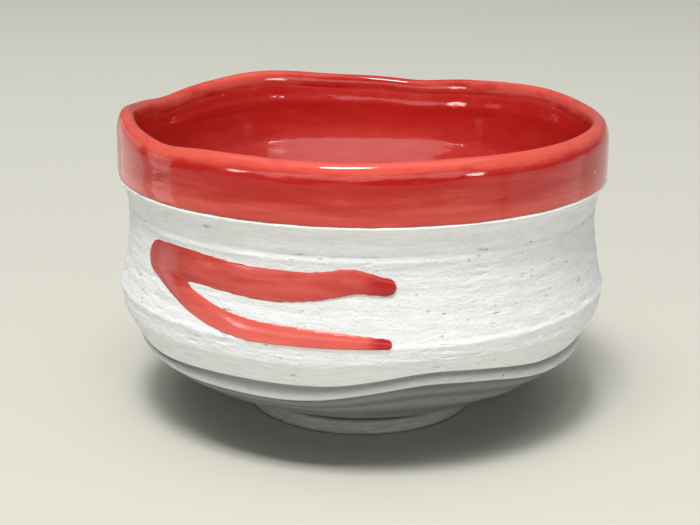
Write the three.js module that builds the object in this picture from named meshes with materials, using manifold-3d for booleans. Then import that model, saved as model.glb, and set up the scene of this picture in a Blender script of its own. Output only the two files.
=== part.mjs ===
// Hand-thrown tea bowl with a red glaze over its upper half and inside, millimetres, +Z up.
// The origin is the bottom centre, on the plane that the foot ring stands on, and the front is -Y.
// One profile is turned round the axis for each piece, and the hand-made unevenness is added
// afterwards by one rule, so that the coats follow the clay under them with an even gap.
import * as THREE from "three";
import { mergeVertices } from "three/addons/utils/BufferGeometryUtils.js";
import Module from "manifold-3d";

const wasm = await Module();
wasm.setup();

// Driving dimensions
const SEGMENTS = 64; // flats round the bowl
const RIM_HEIGHT = 76; // mean height of the lip
const BAND_RADIUS = 61.6; // widest point of the glazed band
const BAND_EDGE = 62; // level line where the dipped glaze ends
const BELLY_RADIUS = 61.9; // widest point of the bare clay
const WAIST_RADIUS = 59;
const FOOT_RADIUS = 29.2; // outer edge of the foot ring on the ground
const FOOT_HEIGHT = 5.6; // height of the recess inside the foot ring
const FOOT_WALL = 5.8; // width of the foot ring
const FLOOR_LEVEL = 12; // top of the glaze in the middle of the bowl
const COAT = 0.7; // thickness of the glaze inside and on the lip
const GAP = 0.3; // clearance between neighbouring pieces
const STROKE_THICKNESS = 0.9; // how far the painted stroke stands out
const STROKE_EDGE = 0.25; // thickness of the glaze along the stroke's edge

// Hills and dips of the lip: direction in degrees from +X, height, spread in degrees
const LIP_HILLS = [
  [35, 1.1, 20],
  [73, -0.9, 9],
  [120, 2.2, 18],
  [155, -0.9, 9],
  [188, 1.9, 13],
  [220, -1.0, 9],
  [264, -0.4, 14],
  [345, 0.6, 18],
];
const LIP_FADES_FROM = 73; // the hills die out between these two heights
const LIP_FADES_TO = 62.6;

// The carved ledge rises once, near the front
const LEDGE_HILL = [285, 3.6, 18];
const LEDGE_STARTS = 9;
const LEDGE_FULL_FROM = 18;
const LEDGE_FULL_TO = 24.5;
const LEDGE_ENDS = 34;

const material = (color, roughness) =>
  new THREE.MeshStandardMaterial({ color, roughness, metalness: 0 });
const bareClay = material(0xe4e5df, 0.9);
const footClay = material(0xcfcdc2, 0.92);
const redGlaze = material(0xb3201c, 0.12);

function hill(degrees, [centre, height, spread]) {
  const away = ((((degrees - centre) % 360) + 540) % 360) - 180;
  return height * Math.exp(-((away / spread) ** 2));
}

function lipWave(degrees, z) {
  const share = THREE.MathUtils.smoothstep(z, LIP_FADES_TO, LIP_FADES_FROM);
  return share * LIP_HILLS.reduce((sum, one) => sum + hill(degrees, one), 0);
}

function ledgeWave(degrees, z) {
  const rise = THREE.MathUtils.smoothstep(z, LEDGE_STARTS, LEDGE_FULL_FROM);
  const fall = THREE.MathUtils.smoothstep(z, LEDGE_FULL_TO, LEDGE_ENDS);
  return (rise - fall) * hill(degrees, LEDGE_HILL);
}

// Turns a closed profile round the axis and raises each vertex by the waves of the hand-made form.
// The first outerCount points of the profile belong to the outside, where the ledge is carved.
function turned(profile, outerCount) {
  const outline = profile.map(([r, z]) => new THREE.Vector2(r, z));
  const geometry = new THREE.LatheGeometry(outline, SEGMENTS).rotateX(Math.PI / 2);
  const position = geometry.getAttribute("position");
  for (let i = 0; i < position.count; i++) {
    const height = position.getZ(i);
    const degrees = THREE.MathUtils.radToDeg(Math.atan2(position.getY(i), position.getX(i)));
    const isOuter = i % profile.length < outerCount;
    const ledge = isOuter ? ledgeWave(degrees, height) : 0;
    position.setZ(i, height + ledge + lipWave(degrees, height));
  }
  geometry.deleteAttribute("normal");
  geometry.deleteAttribute("uv");
  return mergeVertices(geometry, 1e-4);
}

// Outside of the bare clay, from the foot up to the glaze line
const CLAY_OUTSIDE = [
  [0, FOOT_HEIGHT],
  [FOOT_RADIUS + 1.1, FOOT_HEIGHT],
  [38, 8.3],
  [46, 12],
  [52, 15.2],
  [55.4, 18.3],
  [56.5, 19.4],
  [57.2, 20],
  [56.9, 20.8],
  [56.6, 22.8],
  [57, 23.4],
  [58.2, 24.1],
  [59.4, 26],
  [60.7, 28.8],
  [61.3, 30.4],
  [61.8, 32.5],
  [BELLY_RADIUS, 34.5],
  [61.4, 37.5],
  [60.6, 40.5],
  [60, 43.5],
  [59.4, 47],
  [WAIST_RADIUS + 0.1, 50],
  [WAIST_RADIUS, 53],
  [59.3, 55],
  [WAIST_RADIUS, 55.8],
  [59.5, 57.2],
  [60.2, 59.6],
  [61, 60.9],
  [61, BAND_EDGE - GAP],
];

// Clay hidden under the dipped glaze, over the lip and down to the liner
const CLAY_UNDER_GLAZE = [
  [60.4, BAND_EDGE],
  [60.5, 64],
  [60.5, 68.5],
  [60.3, 72.2],
  [59.8, 73.8],
  [59.3, 74.6],
  [58.7, RIM_HEIGHT - COAT - GAP],
  [58.1, 74.5],
  [57.9, 73],
];

// Inside of the bowl as it is seen, from the lip to the middle of the floor
const INSIDE = [
  [56.9, 73],
  [56, 68],
  [55, 60],
  [54.2, 50],
  [53.8, 40],
  [52.4, 30],
  [49.8, 23.5],
  [45.5, 18.6],
  [38, 15],
  [27, 12.9],
  [14, FLOOR_LEVEL + 0.2],
  [0, FLOOR_LEVEL],
];

// The inside profile moved into the wall by a distance, square to itself, with its ends kept
// level with the lip and on the axis
function behindInside(distance) {
  const last = INSIDE.length - 1;
  return INSIDE.map(([r, z], i) => {
    const [r0, z0] = INSIDE[Math.max(i - 1, 0)];
    const [r1, z1] = INSIDE[Math.min(i + 1, last)];
    const along = new THREE.Vector2(r1 - r0, z1 - z0).normalize();
    const radius = i === last ? 0 : r - along.y * distance;
    const height = i === 0 ? z : z + along.x * distance;
    return [radius, height];
  });
}

function clayBody() {
  const inner = behindInside(COAT + GAP);
  const outside = [...CLAY_OUTSIDE, ...CLAY_UNDER_GLAZE];
  return turned([...outside, ...inner], outside.length);
}

function linerGlaze() {
  return turned([...behindInside(COAT).reverse(), ...INSIDE], 0);
}

function rimGlaze() {
  const top = INSIDE[0][1] + GAP;
  const profile = [
    [60.7, BAND_EDGE],
    [61.2, BAND_EDGE],
    [61.5, BAND_EDGE + 0.6],
    [BAND_RADIUS, 64.5],
    [BAND_RADIUS, 68.5],
    [61.4, 72.6],
    [60.8, 74.5],
    [59.9, 75.6],
    [58.7, RIM_HEIGHT],
    [57.8, 75.6],
    [57.2, 74.9],
    [57, top],
    [57.6, top],
    [57.8, 74.7],
    [58.7, RIM_HEIGHT - COAT],
    [59.5, 74.9],
    [60.1, 74],
    [60.6, 72.3],
    [60.8, 68.5],
    [60.8, 64],
    [60.7, BAND_EDGE],
  ];
  return turned(profile, profile.length);
}

function footRing() {
  const top = FOOT_HEIGHT - GAP;
  const inner = FOOT_RADIUS - FOOT_WALL;
  const ring = [
    [inner + 0.6, 0],
    [FOOT_RADIUS - 0.6, 0],
    [FOOT_RADIUS, 0.5],
    [FOOT_RADIUS + 0.5, 2.8],
    [FOOT_RADIUS + 1, top],
    [inner - 0.4, top],
    [inner - 0.2, 2.8],
    [inner, 0.6],
    [inner + 0.6, 0],
  ];
  return turned(ring, 0);
}

// Radius of the bare clay at a height, read off its profile
function clayRadius(height) {
  const above = CLAY_OUTSIDE.findIndex(([r, z]) => z >= height && r > FOOT_RADIUS);
  const [r0, z0] = CLAY_OUTSIDE[above - 1];
  const [r1, z1] = CLAY_OUTSIDE[above];
  return THREE.MathUtils.mapLinear(height, z0, z1, r0, r1);
}

// The painted mark is one brush stroke folded back on itself: two tapering arms that meet at the left.
// Each station is the direction in degrees, the height and half the width of the brush line.
const UPPER_ARM = [
  [212.6, 47.7, 3.9],
  [222, 48.1, 4.1],
  [231, 48.3, 3.8],
  [240, 47.7, 3.7],
  [250, 47.3, 3.8],
  [259, 47.8, 3.4],
  [266.5, 49.1, 3.2],
  [270.5, 48.8, 2.5],
  [277.2, 48, 2.1],
];
const LOWER_ARM = [
  [213, 47.5, 3.3],
  [217, 46.6, 3.4],
  [221, 44.6, 3.1],
  [226, 42.1, 2.9],
  [231, 40, 2.7],
  [238.5, 37.9, 2.6],
  [246.6, 36.8, 2.5],
  [257, 36.5, 2.1],
  [266, 36.1, 1.8],
  [276.2, 35.5, 1.3],
];
const ARM_STEPS = 26;
const POINTS_ACROSS = 6;
const NARROWEST = 0.3; // half width at the very tip of an arm
const MM_PER_DEGREE = (WAIST_RADIUS * Math.PI) / 180;

// A point of the unrolled wall, laid back on the bowl and lifted off the clay
function onWall(across, height, lift) {
  const angle = across / WAIST_RADIUS;
  const radius = clayRadius(height) + GAP + lift;
  return new THREE.Vector3(radius * Math.cos(angle), radius * Math.sin(angle), height);
}

// One arm as a closed tube: domed outside, flat against the wall, with round ends
function brushArm(stations) {
  const spine = new THREE.CatmullRomCurve3(
    stations.map(([degrees, height, half]) => new THREE.Vector3(degrees * MM_PER_DEGREE, height, half)),
  );
  const length = spine.getLength();
  const vertices = [];
  for (let step = 0; step <= ARM_STEPS; step++) {
    const share = (1 - Math.cos((Math.PI * step) / ARM_STEPS)) / 2;
    const middle = spine.getPointAt(share);
    const tangent = spine.getTangentAt(share);
    const side = new THREE.Vector2(-tangent.y, tangent.x).normalize();
    const toTip = Math.min(share, 1 - share) * length;
    const into = Math.max(middle.z - toTip, 0);
    const half = Math.max(Math.sqrt(middle.z ** 2 - into ** 2), NARROWEST);
    const swell = Math.min(half / 2, 1);
    for (let j = 0; j <= POINTS_ACROSS; j++) {
      const s = -Math.cos((Math.PI * j) / POINTS_ACROSS);
      const dome = STROKE_EDGE + (STROKE_THICKNESS - STROKE_EDGE) * swell * Math.sqrt(1 - s * s);
      vertices.push(onWall(middle.x + side.x * half * s, middle.y + side.y * half * s, dome));
    }
    for (let j = POINTS_ACROSS; j >= 0; j--) {
      const s = -Math.cos((Math.PI * j) / POINTS_ACROSS);
      vertices.push(onWall(middle.x + side.x * half * s, middle.y + side.y * half * s, 0));
    }
  }
  return closedTube(vertices, 2 * (POINTS_ACROSS + 1), ARM_STEPS);
}

// Joins rings of vertices into a closed solid with a flat fan at each end
function closedTube(vertices, ringSize, steps) {
  const triangles = [];
  for (let step = 0; step < steps; step++) {
    for (let j = 0; j < ringSize; j++) {
      const a = step * ringSize + j;
      const b = step * ringSize + ((j + 1) % ringSize);
      triangles.push(a, a + ringSize, b, b, a + ringSize, b + ringSize);
    }
  }
  const last = steps * ringSize;
  for (let j = 1; j < ringSize - 1; j++) {
    triangles.push(0, j, j + 1, last, last + j + 1, last + j);
  }
  return new wasm.Manifold(
    new wasm.Mesh({
      numProp: 3,
      vertProperties: new Float32Array(vertices.flatMap((v) => v.toArray())),
      triVerts: new Uint32Array(triangles),
    }),
  );
}

function brushStroke() {
  const joined = brushArm(UPPER_ARM).add(brushArm(LOWER_ARM)).getMesh();
  const geometry = new THREE.BufferGeometry();
  geometry.setAttribute("position", new THREE.BufferAttribute(joined.vertProperties, 3));
  geometry.setIndex(new THREE.BufferAttribute(joined.triVerts, 1));
  return geometry;
}

function piece(name, geometry, look) {
  const mesh = new THREE.Mesh(geometry, look);
  mesh.name = name;
  geometry.computeVertexNormals();
  return mesh;
}

const bowl = new THREE.Group();
bowl.add(
  piece("clay_body", clayBody(), bareClay),
  piece("foot_ring", footRing(), footClay),
  piece("liner_glaze", linerGlaze(), redGlaze),
  piece("rim_glaze", rimGlaze(), redGlaze),
  piece("brush_stroke", brushStroke(), redGlaze),
);

export default bowl;
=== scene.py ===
"""A hand-thrown tea bowl of coarse white stoneware, half dipped in red glaze, in metres, +Z up, front -Y."""

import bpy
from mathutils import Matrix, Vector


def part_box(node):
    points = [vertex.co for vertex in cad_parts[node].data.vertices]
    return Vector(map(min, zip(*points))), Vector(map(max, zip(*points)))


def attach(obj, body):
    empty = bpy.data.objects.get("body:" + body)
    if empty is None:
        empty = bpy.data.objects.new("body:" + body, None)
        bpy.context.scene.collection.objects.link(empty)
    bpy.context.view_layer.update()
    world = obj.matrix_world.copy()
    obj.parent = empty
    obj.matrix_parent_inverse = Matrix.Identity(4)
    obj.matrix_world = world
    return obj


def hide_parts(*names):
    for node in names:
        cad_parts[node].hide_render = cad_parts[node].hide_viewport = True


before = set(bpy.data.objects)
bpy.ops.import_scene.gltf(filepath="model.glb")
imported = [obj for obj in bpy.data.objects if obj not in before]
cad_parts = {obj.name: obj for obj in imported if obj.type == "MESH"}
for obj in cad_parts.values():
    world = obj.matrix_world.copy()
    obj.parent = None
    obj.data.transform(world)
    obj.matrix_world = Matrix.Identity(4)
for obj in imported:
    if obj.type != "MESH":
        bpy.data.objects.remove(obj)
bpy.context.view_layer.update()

import math

import bpy
import numpy as np
from mathutils import Matrix, Vector, noise

# ---------------------------------------------------------------- the bare clay body
# Wall and floor of coarse white stoneware, thrown on a wheel. While it was leather-hard the
# outside was shaved in broad facets and a ledge was cut under the belly, and it was left unglazed.

MM = 0.001
CLAY_STEPS = 540
FOOT_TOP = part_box("clay_body")[0].z / MM
BAND_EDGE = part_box("rim_glaze")[0].z / MM
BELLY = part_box("clay_body")[1].x / MM
WALL_RADIUS = 60
RING_PITCH = 4.6
SCAR_COUNT = 420

# the floor inside the foot ring, then (radius, height) up the outside, in millimetres
RECESS_FLOOR = [(r, FOOT_TOP) for r in (0, 5, 10, 15, 19, 23, 26)]
UNDERSIDE = [
    (28.8, FOOT_TOP),
    (30.4, FOOT_TOP + 0.15),
    (31.4, FOOT_TOP + 0.6),
    (35.8, 7.5),
    (36.8, 8.4),
    (41.4, 9.8),
    (42.8, 11.2),
    (47.6, 12.8),
    (49.2, 14.1),
    (53.4, 16.6),
    (55.4, 18.3),
    (56.2, 19),
]
WALL = [
    (56.2, 19),
    (56.8, 19.35),
    (57.1, 19.65),
    (57.15, 19.95),
    (56.95, 20.7),
    (56.5, 22),
    (56.15, 22.9),
    (56.3, 23.25),
    (57.2, 23.35),
    (57.65, 23.55),
    (57.9, 23.95),
    (58.9, 25.5),
    (59.9, 27.1),
    (60.8, 28.7),
    (61.2, 29.5),
    (61.38, 30.1),
    (61.52, 31.2),
    (61.68, 33),
    (BELLY - 0.03, 34.2),
    (BELLY, 34.7),
    (61.58, 35.2),
    (61.27, 36.5),
    (60.75, 38.5),
    (60.28, 41),
    (59.87, 43.5),
    (59.43, 47),
    (59.12, 50),
    (59.1, 52.6),
    (59.25, 53.6),
    (58.9, 54.4),
    (58.95, 55),
    (59.4, 55.9),
    (59.75, 57.6),
    (60.2, 59.6),
    (60.9, 60.7),
    (61.45, 61.2),
    (61.65, 61.55),
    (61.55, 61.85),
    (61.25, BAND_EDGE),
    (61.0, BAND_EDGE + 0.1),
]
# what the glaze hides: over the lip and down the inside to the middle of the floor
UNDER_GLAZE = [
    (60.6, 62.6),
    (60.4, 66),
    (60.3, 72),
    (59.3, 74.4),
    (58.7, 74.8),
    (58.1, 74.4),
    (57.9, 73),
    (56.2, 60),
    (55.4, 50),
    (55, 40),
    (53.6, 29.6),
    (51, 22.8),
    (46.6, 17.6),
    (38.6, 13.9),
    (27.2, 11.8),
    (0, 10.9),
]


def smooth_outline(points, spacing):
    """Runs a curve through the outline's points and cuts it into short, even steps."""
    knots = np.array(points, float)
    ends = np.vstack([2 * knots[0] - knots[1], knots, 2 * knots[-1] - knots[-2]])
    drawn = [tuple(knots[0])]
    for before, start, stop, after in zip(ends, ends[1:], ends[2:], ends[3:]):
        gap = np.linalg.norm(stop - start)
        leave = (stop - before) * gap / (gap + np.linalg.norm(start - before))
        arrive = (after - start) * gap / (gap + np.linalg.norm(after - stop))
        for t in np.linspace(0, 1, max(1, round(gap / spacing)) + 1)[1:]:
            bend = (t**3 - 2 * t**2 + t) * leave + (t**3 - t**2) * arrive
            drawn.append(tuple((2 * t**3 - 3 * t**2 + 1) * start + (3 * t**2 - 2 * t**3) * stop + bend))
    return drawn


def keep_number(piece, name, values):
    """Keeps one number for each vertex of a piece, for its material or a later step to read."""
    kept = piece.data.attributes.new(name, "FLOAT", "POINT")
    kept.data.foreach_set("value", values)


def throw_on_wheel(name, outline, steps):
    """Extrudes one vertex along an outline in the XZ plane, then spins the line round the axis.
    Each vertex keeps the number of its point on the outline in the attribute "drawn"."""
    bpy.ops.object.select_all(action="DESELECT")
    bpy.ops.mesh.primitive_plane_add(size=0.01, location=(0, 0, 0))
    piece = bpy.context.object
    piece.name = name
    piece.data.name = name
    bpy.ops.object.mode_set(mode="EDIT")
    bpy.ops.mesh.merge(type="CENTER")
    bpy.ops.transform.translate(value=(outline[0][0] * MM, 0, outline[0][1] * MM))
    for (radius, level), (next_radius, next_level) in zip(outline, outline[1:]):
        step = ((next_radius - radius) * MM, 0, (next_level - level) * MM)
        bpy.ops.mesh.extrude_region_move(TRANSFORM_OT_translate={"value": step})
    bpy.ops.object.mode_set(mode="OBJECT")
    keep_number(piece, "drawn", np.arange(len(outline), dtype=float))
    bpy.ops.object.mode_set(mode="EDIT")
    bpy.ops.mesh.select_all(action="SELECT")
    bpy.ops.mesh.spin(steps=steps, angle=2 * math.pi, center=(0, 0, 0), axis=(0, 0, 1))
    bpy.ops.mesh.select_all(action="SELECT")
    bpy.ops.mesh.remove_doubles(threshold=0.000002)
    bpy.ops.mesh.normals_make_consistent(inside=False)
    bpy.ops.object.mode_set(mode="OBJECT")
    bpy.ops.object.shade_smooth()
    return piece


def read_spots(piece):
    """Every vertex of a piece, in millimetres."""
    spots = np.empty(len(piece.data.vertices) * 3)
    piece.data.vertices.foreach_get("co", spots)
    return spots.reshape(-1, 3) / MM


def move_spots(piece, spots):
    """Puts every vertex of a piece at its new place, given in millimetres."""
    piece.data.vertices.foreach_set("co", (spots * MM).ravel())
    piece.data.update()


def read_normals(piece):
    """The outward direction of the surface at each vertex."""
    normals = np.empty(len(piece.data.vertices) * 3)
    piece.data.vertex_normals.foreach_get("vector", normals)
    return normals.reshape(-1, 3)


def read_drawn(piece):
    """The number on the outline of each vertex."""
    drawn = np.empty(len(piece.data.vertices))
    piece.data.attributes["drawn"].data.foreach_get("value", drawn)
    return np.rint(drawn).astype(int)


def direction(spots):
    """Direction of each vertex from the axis, in degrees from +X."""
    return np.degrees(np.arctan2(spots[:, 1], spots[:, 0])) % 360


def ramp(values, start, stop):
    """0 before start, 1 after stop, and smooth between them."""
    t = np.clip((values - start) / (stop - start), 0, 1)
    return t * t * (3 - 2 * t)


def hills(degrees, shapes):
    """Rounded hills round the bowl: direction, height and spread of each."""
    total = np.zeros_like(degrees)
    for centre, height, spread in shapes:
        away = (degrees - centre + 180) % 360 - 180
        total += height * np.exp(-((away / spread) ** 2))
    return total


def clouds(spots, size, seed, sideways=1, octaves=3):
    """Cloudy noise between about -1 and 1, with patches of a size that can be drawn out sideways."""
    places = spots / size + seed * 17.3
    places[:, :2] = spots[:, :2] / (size * sideways) + seed * 11.7
    return np.array([noise.fractal(Vector(place), 0.7, 2, octaves) for place in places])


# hills and dips that fingers left in the lip, and the one rise of the carved ledge
LIP_HILLS = [
    (35, 1.1, 20),
    (73, -0.9, 9),
    (120, 2.2, 18),
    (155, -0.9, 9),
    (188, 1.9, 13),
    (220, -1.0, 9),
    (264, -0.4, 14),
    (345, 0.6, 18),
]
LEDGE_HILLS = [(285, 3.6, 18), (304, 0.8, 11)]


def raise_lip(spots):
    """The waves of the lip, which die out down to the glaze line."""
    lifted = spots.copy()
    lifted[:, 2] += ramp(spots[:, 2], 62.6, 73) * hills(direction(spots), LIP_HILLS)
    return lifted


recess_floor = RECESS_FLOOR[:-1]
underside = smooth_outline(UNDERSIDE, 0.9)[:-1]
wall = smooth_outline(WALL, 0.4)
outside_count = len(recess_floor) + len(underside) + len(wall)
clay = throw_on_wheel("clay_wall", recess_floor + underside + wall + UNDER_GLAZE, CLAY_STEPS)

spots = read_spots(clay)
is_outside = read_drawn(clay) < outside_count
height = spots[:, 2].copy()
around = direction(spots)
shaped = raise_lip(spots)
ledge_share = ramp(height, 9, 18) - ramp(height, 24.5, 34)
shaped[:, 2] += is_outside * ledge_share * hills(around, LEDGE_HILLS)
facet_edge = ramp(height, 20, 23.2) - ramp(height, 24.5, 34)
ledge_lip = ramp(height, 12, 19) - ramp(height, 20.5, 23)
shaped[:, 2] -= is_outside * facet_edge * hills(around, [(212, 1.2, 18), (276, 0.5, 18)])
shaped[:, 2] += is_outside * ledge_lip * hills(around, [(303, 0.8, 26), (268, 0.35, 9), (200, 0.7, 16)])
move_spots(clay, shaped)

# the marks of the wheel, the shaving tool and the torn coarse clay, pressed in square to the wall
normals = read_normals(clay)
bare = is_outside * ramp(height, 6.2, 9) * (1 - ramp(height, 61.2, 61.9))
on_wall = bare * ramp(height, 34, 38)
on_facets = bare * ramp(height, 23, 25) * (1 - ramp(height, 36, 39))
rings = np.sin(2 * math.pi * (height / RING_PITCH + around / 360 + 0.35 * clouds(spots, 30, 1)))
marks = 0.05 * on_wall * rings
marks += 0.16 * bare * clouds(spots, 14, 2, sideways=2.5)
marks += 0.045 * bare * clouds(spots, 1.3, 3, sideways=8)
marks += 0.1 * ramp(height, 60.5, 61.5) * clouds(spots, 4, 14, sideways=2)
marks += 0.055 * on_facets * clouds(spots, 1.2, 4, sideways=1.6)
on_terrace = bare * ramp(height, 19.6, 20.4) * (1 - ramp(height, 22.6, 23.1))
marks += 0.05 * on_terrace * clouds(spots, 0.8, 17, sideways=1.8)

# short tears, each with a little burr pushed up along its lower side
scars = np.random.default_rng(7)
for _ in range(SCAR_COUNT):
    centre = scars.uniform(0, 360)
    level = scars.uniform(25, 60)
    length = scars.uniform(0.5, 1.9)
    thickness = scars.uniform(0.3, 0.4)
    depth = 0.06 + 0.4 * scars.random() ** 2
    across = np.radians((around - centre + 180) % 360 - 180) * WALL_RADIUS
    above = height - level - 0.15 * across
    near = np.exp(-((across / length) ** 2))
    marks -= bare * depth * near * np.exp(-((above / thickness) ** 2))
    marks += bare * 0.4 * depth * near * np.exp(-(((above + 2 * thickness) / thickness) ** 2))
move_spots(clay, shaped + normals * marks[:, None])


def add_node(material, kind, links=(), **settings):
    """Adds a shader node. Settings are its properties, links its inputs by number or name."""
    node = material.node_tree.nodes.new(kind)
    for name, value in settings.items():
        setattr(node, name, value)
    for name, source in dict(links).items():
        if isinstance(source, bpy.types.NodeSocket):
            material.node_tree.links.new(source, node.inputs[name])
        else:
            node.inputs[name].default_value = source
    return node


def new_material(name):
    """An empty material, with a shader joined to its output."""
    material = bpy.data.materials.new(name)
    material.use_nodes = True
    material.node_tree.nodes.clear()
    shader = add_node(material, "ShaderNodeBsdfPrincipled")
    add_node(material, "ShaderNodeOutputMaterial", {"Surface": shader.outputs["BSDF"]})
    return material, shader


def drawn_out(material, flatness):
    """Object coordinates squeezed in height, so that a pattern runs round the bowl in streaks."""
    place = add_node(material, "ShaderNodeTexCoord").outputs["Object"]
    return add_node(material, "ShaderNodeMapping", {"Vector": place, "Scale": (1, 1, flatness)}).outputs[0]


def cloud_node(material, vector, scale, detail=4.0):
    links = {"Vector": vector, "Scale": scale, "Detail": detail, "Roughness": 0.6}
    return add_node(material, "ShaderNodeTexNoise", links).outputs["Fac"]


def step_node(material, value, start, stop):
    """0 where the value is under start, 1 where it is over stop."""
    links = {"Value": value, "From Min": start, "From Max": stop}
    return add_node(material, "ShaderNodeMapRange", links, interpolation_type="SMOOTHSTEP").outputs[0]


def tint(material, share, first, second):
    """One colour turning into another."""
    links = {"Factor": share, 6: first, 7: second}
    return add_node(material, "ShaderNodeMix", links, data_type="RGBA").outputs[2]


def arithmetic(material, operation, first, second):
    return add_node(material, "ShaderNodeMath", {0: first, 1: second}, operation=operation).outputs[0]


def clay_material(name, pale, shade, under, speck_share):
    """Bare stoneware: pale grains, scrape lines, fine pits and a few specks of iron. It turns to the
    colour "under", a painted shade, where the attribute "under" is 1."""
    material, shader = new_material(name)
    place = add_node(material, "ShaderNodeTexCoord").outputs["Object"]
    scrape = cloud_node(material, drawn_out(material, 8), 190)
    patches = cloud_node(material, drawn_out(material, 2.5), 55)
    grains = cloud_node(material, place, 1500, 3)
    pit_cells = add_node(material, "ShaderNodeTexVoronoi", {"Vector": drawn_out(material, 2), "Scale": 330})
    pit_pick = add_node(material, "ShaderNodeSeparateColor", {"Color": pit_cells.outputs["Color"]})
    pit_size = arithmetic(material, "MULTIPLY", pit_pick.outputs[1], 0.24)
    pit_shape = arithmetic(material, "SUBTRACT", pit_size, pit_cells.outputs["Distance"])
    some = step_node(material, pit_pick.outputs[0], 0.7, 0.72)
    pits = arithmetic(material, "MULTIPLY", step_node(material, pit_shape, 0, 0.1), some)
    flat_place = drawn_out(material, 4.5)
    tear_cells = add_node(material, "ShaderNodeTexVoronoi", {"Vector": flat_place, "Scale": 230})
    tear_pick = add_node(material, "ShaderNodeSeparateColor", {"Color": tear_cells.outputs["Color"]})
    ragged = arithmetic(material, "MULTIPLY", cloud_node(material, place, 900, 3), 0.35)
    tear_size = arithmetic(material, "MULTIPLY", tear_pick.outputs[1], 0.3)
    tear_reach = arithmetic(material, "SUBTRACT", arithmetic(material, "ADD", tear_size, 0.18), ragged)
    tear_shape = arithmetic(material, "SUBTRACT", tear_reach, tear_cells.outputs["Distance"])
    few = step_node(material, tear_pick.outputs[0], 0.76, 0.77)
    tears = arithmetic(material, "MULTIPLY", step_node(material, tear_shape, -0.02, 0.24), few)
    speck_cells = add_node(material, "ShaderNodeTexVoronoi", {"Vector": place, "Scale": 150})
    speck_shape = step_node(material, speck_cells.outputs["Distance"], 0.055, 0.03)
    speck_pick = add_node(material, "ShaderNodeSeparateColor", {"Color": speck_cells.outputs["Color"]})
    picked = step_node(material, speck_pick.outputs[0], 1 - speck_share, 1.01 - speck_share)
    specks = arithmetic(material, "MULTIPLY", speck_shape, picked)
    base = tint(material, step_node(material, scrape, 0.36, 0.66), shade, pale)
    base = tint(material, arithmetic(material, "MULTIPLY", patches, 0.35), base, shade)
    grit = step_node(material, grains, 0.5, 0.72)
    base = tint(material, arithmetic(material, "MULTIPLY", grit, 0.3), base, shade)
    base = tint(material, arithmetic(material, "MULTIPLY", tears, 0.1), base, (0.5, 0.49, 0.45, 1))
    base = tint(material, arithmetic(material, "MULTIPLY", pits, 0.5), base, (0.42, 0.41, 0.36, 1))
    # painted shade: the colour "under" laid in where the attribute "under" asks for it
    shade_share = add_node(material, "ShaderNodeAttribute", attribute_name="under").outputs["Fac"]
    base = tint(material, shade_share, base, under)
    base = tint(material, specks, base, (0.05, 0.045, 0.04, 1))
    rough = arithmetic(material, "ADD", arithmetic(material, "MULTIPLY", scrape, 0.5), grains)
    holes = arithmetic(material, "ADD", pits, arithmetic(material, "MULTIPLY", tears, 1.9))
    relief = arithmetic(material, "SUBTRACT", rough, holes)
    bump = add_node(material, "ShaderNodeBump", {"Height": relief, "Strength": 1.0, "Distance": 0.00023})
    links = material.node_tree.links
    links.new(base, shader.inputs["Base Color"])
    links.new(bump.outputs[0], shader.inputs["Normal"])
    shader.inputs["Roughness"].default_value = 0.88
    shader.inputs["Specular IOR Level"].default_value = 0.25
    return material


# grey laid into the colour to stand for shade: full under the ledge, deepest by the foot, part on
# the terrace of the ledge, and a touch on the thrown wall
radius = np.hypot(spots[:, 0], spots[:, 1])
trimming_shade = 0.06 * np.sin(2 * math.pi * radius / RING_PITCH + 2 * clouds(spots, 30, 16))
crevice_shade = 0.12 * (1 - ramp(radius, 31.5, 36))
shade_share = np.clip(0.88 + trimming_shade + crevice_shade, 0, 1) * (1 - ramp(height, 19.2, 19.6))
terrace = (0.2 + 0.5 * ramp(height, 19.8, 22.6)) * ramp(height, 19.2, 19.6)
terrace *= 1 - ramp(height, 23.3, 23.6)
wall_shade = (0.06 + hills(around, [(262, 0.06, 28)])) * ramp(height, 33.5, 37) * (1 - ramp(height, 52, 56))
keep_number(clay, "under", is_outside * (shade_share + terrace + wall_shade))
clay_white = (0.87, 0.878, 0.88, 1)
clay_shade = (0.76, 0.768, 0.765, 1)
# the grey of that painted shade, not a colour of the clay
painted_shade_grey = (0.1, 0.0995, 0.0965, 1)
clay.data.materials.append(
    clay_material("white_stoneware", clay_white, clay_shade, painted_shade_grey, speck_share=0.16)
)
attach(clay, "root")
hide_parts("clay_body")

# ---------------------------------------------------------------- the foot ring
# A low ring of the same clay, joined to the underside with slip and pared with a loop tool. Its
# edges are worn and a little chipped where it has been set down, and its ground stays flat.

FOOT_STEPS = 360
FOOT_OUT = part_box("foot_ring")[1].x / MM
foot_outline = smooth_outline(
    [
        (FOOT_OUT - 1.2, 0.02),
        (FOOT_OUT - 0.95, 0.35),
        (FOOT_OUT - 0.8, 1.4),
        (FOOT_OUT - 0.7, 3),
        (FOOT_OUT - 0.6, 4.4),
        (FOOT_OUT - 0.3, FOOT_TOP - 0.3),
        (FOOT_OUT + 0.2, FOOT_TOP + 0.2),
    ],
    0.3,
)
foot_inside = smooth_outline(
    [
        (22.4, FOOT_TOP + 0.2),
        (22.9, FOOT_TOP - 0.5),
        (23.2, 4),
        (23.4, 1.4),
        (23.7, 0.3),
        (24.2, 0),
    ],
    0.4,
)
foot_ground = [(r, 0) for r in (25, 26, 27, 28)]
ring = foot_outline + foot_inside + foot_ground
foot = throw_on_wheel("pared_foot_ring", ring + ring[:1], FOOT_STEPS)
spots = read_spots(foot)
height = spots[:, 2].copy()
above_ground = ramp(height, 0.05, 1.5)
dents = 0.16 * clouds(spots, 9, 5, sideways=1.6) + 0.06 * clouds(spots, 1.6, 6, sideways=3)
chips = np.clip(clouds(spots, 2.6, 8, octaves=2) - 0.45, 0, 1) * (1 - ramp(height, 0.5, 1.6))
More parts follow.
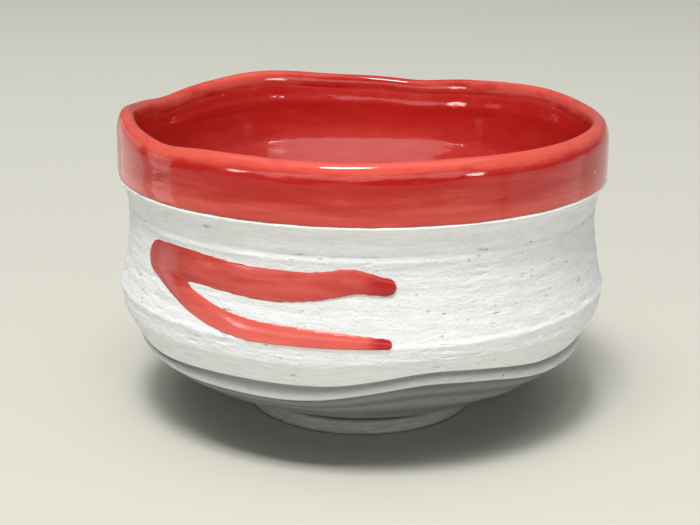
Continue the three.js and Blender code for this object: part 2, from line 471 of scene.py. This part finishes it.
spots += read_normals(foot) * (above_ground * dents - 0.5 * chips)[:, None]
spots[:, 2] = np.maximum(spots[:, 2], 0)
move_spots(foot, spots)
# painted shade on the foot: dark at its joint with the underside and along its ground edge, where shade
# falls
joint_shade = ramp(height, FOOT_TOP - 2.2, FOOT_TOP - 1)
ground_shade = 1 - ramp(height, 0.2, 1.1)
keep_number(foot, "under", joint_shade + 0.7 * ground_shade)
worn_pale = (0.44, 0.43, 0.375, 1)
worn_dark = (0.32, 0.31, 0.275, 1)
# the grey of the foot's painted shade
foot_shade_grey = (0.07, 0.068, 0.062, 1)
foot.data.materials.append(
    clay_material("worn_stoneware", worn_pale, worn_dark, foot_shade_grey, speck_share=0.3)
)
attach(foot, "root")
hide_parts("foot_ring")

# ---------------------------------------------------------------- the glaze inside
# Red glaze poured in, swilled round and tipped out. It lies thick and dark on the floor and the
# wall, and the rings of the thrower's fingers show through it as slow waves in the gloss.

LINER_STEPS = 360
FINGER_RING = 68.2
liner_face = smooth_outline(
    [
        (57.3, 74),
        (57.02, 73.2),
        (56.9, 72.4),
        (56.82, 71.6),
        (56.68, 70),
        (56.5, 68),
        (56.25, 65.5),
        (55.85, 61.5),
        (55.5, 58.4),
        (54.85, 55.9),
        (53.9, 52.2),
        (53.2, 49),
        (52.7, 45),
        (52.5, 40),
        (51.6, 30),
        (49.8, 23.5),
        (45.5, 18.6),
        (38, 15),
        (27, 12.9),
        (14, 12.2),
        (4, 12),
        (0, 12),
    ],
    0.7,
)
liner_back = [(0, 11.4), (27, 12.2), (38.3, 14.4), (46.1, 18.1), (50.5, 23.1), (53.1, 29.8), (54.5, 40)]
liner_back += [(55.1, 50), (56, 60), (57.4, 71.5), (57.75, 73.6)]
liner_outline = liner_face + liner_back
liner = throw_on_wheel("poured_red_glaze", liner_outline + liner_outline[:1], LINER_STEPS)
spots = read_spots(liner)
on_face = read_drawn(liner) < len(liner_face)
height = spots[:, 2].copy()
waves = np.sin(2 * math.pi * (height / 8.5 + direction(spots) / 360 + 0.3 * clouds(spots, 35, 9)))
swell = 0.06 * waves * ramp(height, 15, 24) * (1 - 0.6 * ramp(height, 50, 58))
swell += 0.09 * clouds(spots, 26, 10)
swell += 0.17 * np.exp(-(((height - FINGER_RING) / 1.3) ** 2))
swell *= on_face * (1 - ramp(height, 69.6, 71.4))
pressed = raise_lip(spots)
move_spots(liner, pressed)
move_spots(liner, pressed + read_normals(liner) * swell[:, None])

# paler near the lip, where the glaze is thin, and on the back wall, to stand for the light it catches
sunlit = hills(direction(spots), [(95, 1, 52)]) * (1 - ramp(height, 57, 67))
keep_number(liner, "thin", 0.3 * ramp(height, 69.5, 73) + 0.5 * sunlit)


def glaze_material(name, thick, thin, streak_strength, smoothest, pinhole):
    """Glossy red glaze, paler where the attribute "thin" is high, with brush streaks, pinholes and a rippled
    skin. On the liner and the rim that attribute holds painted light and painted shade as well as thin
    glaze.
    """
    material, shader = new_material(name)
    place = add_node(material, "ShaderNodeTexCoord").outputs["Object"]
    thinness = add_node(material, "ShaderNodeAttribute", attribute_name="thin").outputs["Fac"]
    streaks = cloud_node(material, drawn_out(material, 9), 42, 5)
    mottle = cloud_node(material, drawn_out(material, 2), 110, 4)
    spread = arithmetic(material, "MULTIPLY", step_node(material, streaks, 0.35, 0.7), streak_strength)
    patch = arithmetic(material, "MULTIPLY", step_node(material, mottle, 0.45, 0.75), 0.16)
    share = arithmetic(material, "ADD", arithmetic(material, "ADD", spread, patch), thinness)
    cells = add_node(material, "ShaderNodeTexVoronoi", {"Vector": place, "Scale": 240})
    pick = add_node(material, "ShaderNodeSeparateColor", {"Color": cells.outputs["Color"]})
    hole = step_node(material, cells.outputs["Distance"], 0.11, 0.05)
    picked = step_node(material, pick.outputs[1], 0.86, 0.87)
    pinholes = arithmetic(material, "MULTIPLY", hole, picked)
    colour = tint(material, step_node(material, share, 0, 1), thick, thin)
    colour = tint(material, arithmetic(material, "MULTIPLY", pinholes, 0.8), colour, pinhole)
    ripple = cloud_node(material, drawn_out(material, 2.2), 160, 2)
    skin = arithmetic(material, "SUBTRACT", ripple, arithmetic(material, "MULTIPLY", pinholes, 0.6))
    bump = add_node(material, "ShaderNodeBump", {"Height": skin, "Strength": 0.35, "Distance": 0.0002})
    levels = {"Value": streaks, "To Min": smoothest, "To Max": smoothest + 0.08}
    gloss = add_node(material, "ShaderNodeMapRange", levels).outputs[0]
    links = material.node_tree.links
    links.new(colour, shader.inputs["Base Color"])
    links.new(gloss, shader.inputs["Roughness"])
    links.new(bump.outputs[0], shader.inputs["Normal"])
    shader.inputs["IOR"].default_value = 1.46
    return material


liner_thick = (0.49, 0.017, 0.013, 1)
liner_thin = (0.74, 0.095, 0.075, 1)
liner.data.materials.append(
    glaze_material("poured_red_gloss", liner_thick, liner_thin, 0.12, 0.03, (0.6, 0.1, 0.08, 1))
)
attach(liner, "root")
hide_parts("liner_glaze")

# ---------------------------------------------------------------- the dipped rim glaze
# The bowl was turned over and its lip dipped to a level line. The coat is a millimetre thick, ends
# in a rounded bead, shows streaks round the bowl, and thins to a paler coral on the crest of the lip.

RIM_STEPS = 540
CREST_RADIUS = 58.7
BAND_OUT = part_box("rim_glaze")[1].x / MM
rim_face = smooth_outline(
    [
        (60.8, BAND_EDGE + 0.1),
        (61.15, BAND_EDGE - 0.12),
        (61.5, BAND_EDGE + 0.15),
        (BAND_OUT, BAND_EDGE + 0.8),
        (BAND_OUT + 0.05, 64.5),
        (BAND_OUT, 68.5),
        (61.5, 71.6),
        (61.2, 73.2),
        (60.6, 74.7),
        (59.8, 75.6),
        (58.8, 76),
        (57.9, 75.6),
        (57.3, 74.8),
        (57, 73.6),
        (56.9, 72.6),
        (56.86, 71.8),
        (56.86, 71.2),
        (57, 70.8),
    ],
    0.32,
)
rim_back = [(57.6, 72.5), (58, 74.3), (58.7, 75), (59.4, 74.7), (60.2, 73), (60.5, 70), (60.6, 65)]
rim_outline = rim_face + rim_back
rim = throw_on_wheel("dipped_rim_glaze", rim_outline + rim_outline[:1], RIM_STEPS)
spots = read_spots(rim)
on_face = read_drawn(rim) < len(rim_face)
height = spots[:, 2].copy()
radius = np.hypot(spots[:, 0], spots[:, 1])
at_edge = 1 - ramp(height, BAND_EDGE, BAND_EDGE + 2.5)
spots[:, 2] += at_edge * 0.22 * clouds(spots, 5, 11, octaves=4)
pressed = raise_lip(spots)
swell = 0.1 * clouds(spots, 18, 12, sideways=2) + 0.035 * clouds(spots, 2.2, 13, sideways=8)
swell *= on_face * ramp(height, BAND_EDGE, BAND_EDGE + 1) * ramp(radius, 57, 58)
move_spots(rim, pressed)
move_spots(rim, pressed + read_normals(rim) * swell[:, None])

# paler on the crest, but less so at the back, to stand for its shade, and paler at the band's foot
outer_crest = ramp(height, 72.4, 75)
inner_crest = 0.35 + 0.65 * ramp(height, 72.5, 75)
crest = np.where(radius > CREST_RADIUS, outer_crest, inner_crest)
crest *= 1 - hills(direction(spots), [(84, 0.75, 30)])
lower = 1 - ramp(height, BAND_EDGE + 0.6, BAND_EDGE + 6.5)
mottled = 1 + 0.55 * clouds(spots, 3.4, 15, sideways=2.2, octaves=5)
keep_number(rim, "thin", 0.72 * crest * mottled + 0.55 * lower)
rim_thick = (0.41, 0.007, 0.005, 1)
rim_thin = (0.63, 0.085, 0.058, 1)
rim.data.materials.append(
    glaze_material("dipped_red_gloss", rim_thick, rim_thin, 0.36, 0.05, (0.85, 0.32, 0.24, 1))
)
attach(rim, "root")
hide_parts("rim_glaze")

# ---------------------------------------------------------------- the brush mark
# One loaded stroke of the same red glaze: drawn to the left, folded back on itself and lifted off
# again. It melted into a low, rounded ridge on the bare clay, thickest where the brush stopped.

ARC = WALL_RADIUS * math.pi / 180
# each arm from the fold to its end: direction in degrees, height, and half the brush's width
UPPER_ARM = [
    (212.6, 47.7, 3.9),
    (222, 48.1, 4.1),
    (231, 48.3, 3.8),
    (240, 47.7, 3.7),
    (250, 47.3, 3.8),
    (259, 47.8, 3.4),
    (263.5, 48.5, 3.2),
    (267, 49.2, 3.15),
    (270.5, 48.8, 2.6),
    (274, 48.1, 2.2),
    (277.2, 48, 2),
]
LOWER_ARM = [
    (213, 47.5, 3.3),
    (217, 46.6, 3.4),
    (221, 44.6, 3.1),
    (226, 42.1, 2.9),
    (231, 40, 2.7),
    (238.5, 37.9, 2.6),
    (246.6, 36.8, 2.45),
    (257, 36.5, 2.1),
    (266, 36.1, 1.8),
    (276.2, 35.5, 1.25),
]
STROKE_SUNK = 0.5
STROKE_EDGE = 0.1
STROKE_RISE = 0.42
STROKE_BURIED = 0.35


def brush_path(stations):
    """The middle line of an arm on the unrolled wall, and half the brush's width along it."""
    line = np.array(smooth_outline([(angle * ARC, level) for angle, level, _ in stations], 0.6))
    widths = np.interp(line[:, 0], [s[0] * ARC for s in stations], [s[2] for s in stations])
    return line, widths


def brush_arm(name, stations):
    """A flat bar laid along the stations, as wide as the brush was there, with round ends."""
    line, widths = brush_path(stations)
    run = np.concatenate([[0], np.cumsum(np.linalg.norm(np.diff(line, axis=0), axis=1))])
    to_tip = np.minimum(run, run[-1] - run)
    widths = np.sqrt(np.maximum(widths**2 - np.maximum(widths - to_tip, 0) ** 2, 0.15**2))
    ahead = np.gradient(line, axis=0)
    ahead /= np.linalg.norm(ahead, axis=1)[:, None]
    bpy.ops.object.select_all(action="DESELECT")
    bpy.ops.mesh.primitive_grid_add(x_subdivisions=len(line) - 1, y_subdivisions=12, size=2)
    arm = bpy.context.object
    arm.name = name
    grid = read_spots(arm) * MM
    station = np.rint((grid[:, 0] + 1) / 2 * (len(line) - 1)).astype(int)
    across = grid[:, 1] * widths[station]
    laid = np.zeros_like(grid)
    laid[:, 0] = line[station, 0] - ahead[station, 1] * across
    laid[:, 1] = line[station, 1] + ahead[station, 0] * across
    move_spots(arm, laid)
    bpy.ops.object.mode_set(mode="EDIT")
    bpy.ops.mesh.select_all(action="SELECT")
    bpy.ops.mesh.normals_make_consistent(inside=False)
    bpy.ops.mesh.extrude_region_move(TRANSFORM_OT_translate={"value": (0, 0, -STROKE_SUNK * MM)})
    bpy.ops.mesh.select_all(action="SELECT")
    bpy.ops.mesh.normals_make_consistent(inside=False)
    bpy.ops.object.mode_set(mode="OBJECT")
    return arm


bpy.ops.object.select_all(action="DESELECT")
upper_arm = brush_arm("brush_mark", UPPER_ARM)
lower_arm = brush_arm("lower_arm", LOWER_ARM)
upper_arm.select_set(True)
bpy.context.view_layer.objects.active = upper_arm
bpy.ops.object.join()
stroke = bpy.context.object
melt = stroke.modifiers.new("melt", "REMESH")
melt.mode = "VOXEL"
melt.voxel_size = 0.28 * MM
bpy.ops.object.modifier_apply(modifier="melt")
soften = stroke.modifiers.new("soften", "SMOOTH")
soften.iterations = 12
bpy.ops.object.modifier_apply(modifier="soften")
bpy.ops.object.shade_smooth()

# the flat stroke is laid on the wall: across becomes direction, up stays height, thickness goes out
laid = read_spots(stroke)
on_top = ramp(laid[:, 2], -STROKE_SUNK, 0)
upper_wall = [point for point in wall if point[1] > 28]
wall_radius = np.interp(laid[:, 1], [z for r, z in upper_wall], [r for r, z in upper_wall])
degrees = laid[:, 0] / ARC
domes = []
for stations in (UPPER_ARM, LOWER_ARM):
    line, widths = brush_path(stations)
    dome = np.zeros(len(laid))
    for (along, level), width in zip(line, widths):
        away = np.hypot(laid[:, 0] - along, laid[:, 1] - level) / width
        dome = np.maximum(dome, np.clip(1 - away**2, 0, 1) ** 0.8)
    domes.append(dome)
dome = np.minimum((domes[0] ** 4 + domes[1] ** 4) ** 0.25, 1)
lift = on_top * (STROKE_EDGE + STROKE_RISE * dome) - STROKE_BURIED * (1 - on_top)
radius = wall_radius + lift
wrapped = np.stack(
    [radius * np.cos(np.radians(degrees)), radius * np.sin(np.radians(degrees)), laid[:, 1]], axis=1
)
move_spots(stroke, wrapped)
settle = stroke.modifiers.new("settle", "SMOOTH")
settle.iterations = 5
bpy.ops.object.modifier_apply(modifier="settle")
thinner = 0.42 * (1 - ramp(laid[:, 1], 36, 47)) + 0.3 * ramp(degrees, 222, 232)
thinner += 0.2 * (1 - on_top)
keep_number(stroke, "thin", thinner * (1 - ramp(degrees, 269, 274.5)))
stroke_thick = (0.39, 0.011, 0.008, 1)
stroke_thin = (0.68, 0.115, 0.085, 1)
stroke.data.materials.append(
    glaze_material("brushed_red_gloss", stroke_thick, stroke_thin, 0.3, 0.15, (0.1, 0.02, 0.015, 1))
)
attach(stroke, "root")
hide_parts("brush_stroke")

# ---------------------------------------------------------------- the studio
# A plain pale floor under a soft lamp high up at the front left, with a wide weak ceiling and two
# low fills in front. White cards at the sides and in front stand for windows, only in the gloss.

EYE = Vector((-0.00296, -0.35, 0.1398))
DOWN = math.radians(16.5)
TILT = math.radians(0.4)
LENS = 72
LAMP = (-0.32, -1.2, 3.1)
BOWL = (0, 0, 0.03)
LEFT_WINDOW = -0.18
RIGHT_WINDOW = 0.2

bpy.ops.object.select_all(action="DESELECT")
bpy.ops.mesh.primitive_plane_add(size=12, location=(0, 0, 0))
floor = bpy.context.object
floor.name = "studio_floor"
floor_material, floor_shader = new_material("pale_floor")
floor_shader.inputs["Base Color"].default_value = (0.56, 0.55, 0.48, 1)
floor_shader.inputs["Roughness"].default_value = 0.85
floor_shader.inputs["Specular IOR Level"].default_value = 0.2
floor.data.materials.append(floor_material)


def soft_panel(name, place, target, width, height, power):
    """A rectangular softbox that faces a point and is not seen itself."""
    bpy.ops.object.light_add(type="AREA", location=place)
    panel = bpy.context.object
    panel.name = name
    panel.data.shape = "RECTANGLE"
    panel.data.size = width
    panel.data.size_y = height
    panel.data.energy = power
    panel.rotation_euler = (Vector(target) - Vector(place)).to_track_quat("-Z", "Y").to_euler()
    panel.visible_camera = False
    return panel


def gloss_card(name, place, target, width, height, glow):
    """A white card of a given glow that shows in glossy surfaces and lights nothing else."""
    card = soft_panel(name, place, target, width, height, glow * math.pi * width * height)
    card.visible_diffuse = False


soft_panel("ceiling_lamp", LAMP, BOWL, 0.7, 0.7, 62)
lamp_spread = soft_panel("lamp_spread", LAMP, BOWL, 2.1, 0.7, 48)
lamp_spread.visible_glossy = False
soft_panel("pale_ceiling", (0, -0.3, 3.2), BOWL, 4.4, 3, 34)
for side, x, power in (("left", -0.95, 4.6), ("right", 1.05, 5.2)):
    fill = soft_panel(f"{side}_front_fill", (x, -1.4, 0.25), (0, 0, 0.04), 1, 0.4, power)
    fill.visible_glossy = False

# panes of a low window at the left and a wider one at the right, with dark bars between them
left_panes = [
    (-0.027, 0.013, 0.004, 0.038, 1.1),
    (-0.027, 0.013, 0.045, 0.1, 1.1),
    (0.036, 0.2, 0.004, 0.1, 0.42),
]
for pane, (near, far, low, high, glow) in enumerate(left_panes):
    middle = ((near + far) / 2, (low + high) / 2)
    gloss_card(f"left_pane_{pane}", (LEFT_WINDOW, *middle), (0, *middle), far - near, high - low, glow)
right_panes = [(-0.25, -0.14, 0.3), (-0.119, 0.044, 0.36)]
for pane, (near, far, glow) in enumerate(right_panes):
    middle = ((near + far) / 2, 0.04)
    gloss_card(f"right_pane_{pane}", (RIGHT_WINDOW, *middle), (0, *middle), far - near, 0.07, glow)

# a long bright window behind the viewer, and two small ones that gleam on the far wall inside
gloss_card("long_front_window", (0, -2, 0.72), (0, 0, 0.06), 5.6, 0.44, 1.9)
gloss_card("front_left_window", (-1.24, -0.84, 0.32), (0, 0, 0.06), 0.22, 0.12, 17)
gloss_card("front_right_window", (1.15, -0.96, 0.32), (0, 0, 0.06), 0.22, 0.12, 17)

world = bpy.data.worlds.new("studio_air")
world.use_nodes = True
world.node_tree.nodes["Background"].inputs["Color"].default_value = (0.95, 0.97, 1, 1)
world.node_tree.nodes["Background"].inputs["Strength"].default_value = 0.2
bpy.context.scene.world = world
bpy.context.scene.view_settings.view_transform = "Standard"

bpy.ops.object.camera_add(location=EYE)
camera = bpy.context.object
camera.name = "table_camera"
camera.data.lens = LENS
camera.data.sensor_width = 36
level = Matrix.Rotation(math.pi / 2 - DOWN, 3, "X")
camera.rotation_euler = (level @ Matrix.Rotation(TILT, 3, "Z")).to_euler()
bpy.context.scene.camera = camera
